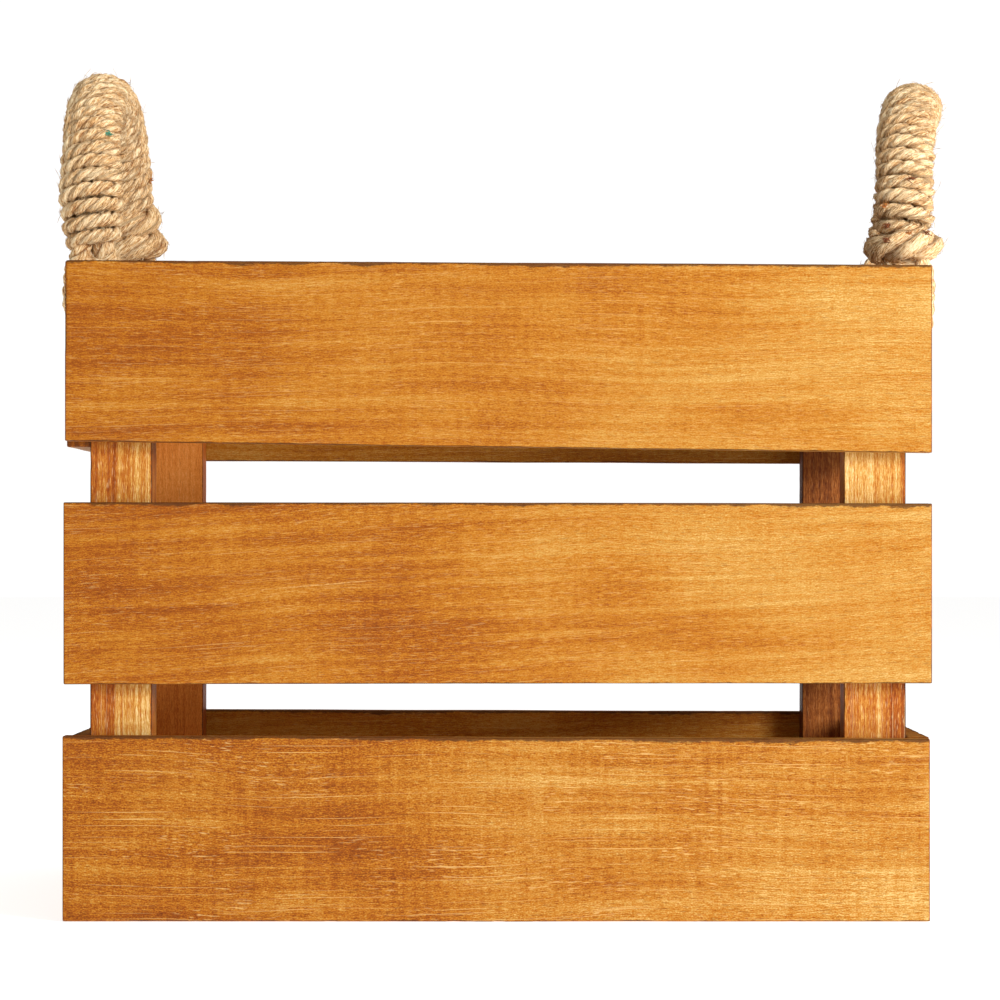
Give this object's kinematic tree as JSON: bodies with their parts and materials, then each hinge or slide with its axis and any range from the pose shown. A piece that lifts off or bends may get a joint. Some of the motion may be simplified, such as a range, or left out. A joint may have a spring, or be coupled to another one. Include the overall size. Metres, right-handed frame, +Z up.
{
  "type": "wooden apple crate",
  "caption": "Open slatted wooden crate with corner posts inside and an upright jute-wrapped rope handle at each end.",
  "frame": {"origin": "middle of the underside, on the middle floor board's bottom face", "axes": "+X along the crate's length towards the right-hand handle, +Y from the front wall to the back wall, +Z up"},
  "size_m": [0.3711, 0.25, 0.348],
  "materials": {
    "wall_slat": "golden-brown stain, satin, fine grain",
    "corner_post": "lighter golden stain, satin, streaked",
    "floor_board": "golden-brown stain, matt",
    "floor_cleat": "golden stain, matt",
    "staple": "galvanised wire",
    "jute_rope": "twisted jute, fibrous, matt",
    "jute_wrapping": "three-strand twisted jute wound in close turns, fibrous, matt"
  },
  "bodies": {
    "crate": {"front_slat_bottom": "wall_slat", "front_slat_middle": "wall_slat", "front_slat_top": "wall_slat", "back_slat_bottom": "wall_slat", "back_slat_middle": "wall_slat", "back_slat_top": "wall_slat", "left_slat_bottom": "wall_slat", "left_slat_middle": "wall_slat", "left_slat_top": "wall_slat", "right_slat_bottom": "wall_slat", "right_slat_middle": "wall_slat", "right_slat_top": "wall_slat", "post_front_left": "corner_post", "post_front_right": "corner_post", "post_back_left": "corner_post", "post_back_right": "corner_post", "floor_board_front": "floor_board", "floor_board_middle": "floor_board", "floor_board_back": "floor_board", "cleat_left": "floor_cleat", "cleat_right": "floor_cleat", "staple_front_left_bottom_a": "staple", "staple_front_left_bottom_b": "staple", "staple_front_left_middle_a": "staple", "staple_front_left_middle_b": "staple", "staple_front_left_top_a": "staple", "staple_front_left_top_b": "staple", "staple_front_right_bottom_a": "staple", "staple_front_right_bottom_b": "staple", "staple_front_right_middle_a": "staple", "staple_front_right_middle_b": "staple", "staple_front_right_top_a": "staple", "staple_front_right_top_b": "staple", "staple_back_left_bottom_a": "staple", "staple_back_left_bottom_b": "staple", "staple_back_left_middle_a": "staple", "staple_back_left_middle_b": "staple", "staple_back_left_top_a": "staple", "staple_back_left_top_b": "staple", "staple_back_right_bottom_a": "staple", "staple_back_right_bottom_b": "staple", "staple_back_right_middle_a": "staple", "staple_back_right_middle_b": "staple", "staple_back_right_top_a": "staple", "staple_back_right_top_b": "staple", "staple_floor_front_left": "staple", "staple_floor_front_right": "staple", "staple_floor_middle_left": "staple", "staple_floor_middle_right": "staple", "staple_floor_back_left": "staple", "staple_floor_back_right": "staple", "rope_eye_left_front": "jute_rope", "rope_eye_left_rear": "jute_rope", "rope_eye_right_front": "jute_rope", "rope_eye_right_rear": "jute_rope"},
    "left_handle": {"handle_core_left": "jute_rope", "handle_wrap_left": "jute_wrapping"},
    "right_handle": {"handle_core_right": "jute_rope", "handle_wrap_right": "jute_wrapping"}
  },
  "joints": [
    {"name": "left_handle_tilt", "type": "hinge", "parent": "crate", "child": "left_handle", "pos_m": [-0.1654, 0, 0.258], "axis": [0, 1, 0], "range_deg": [-75, 75], "deforming": ["rope_eye_left_front", "rope_eye_left_rear"]},
    {"name": "right_handle_tilt", "type": "hinge", "parent": "crate", "child": "right_handle", "pos_m": [0.1654, 0, 0.258], "axis": [0, 1, 0], "range_deg": [-75, 75], "deforming": ["rope_eye_right_front", "rope_eye_right_rear"]}
  ]
}
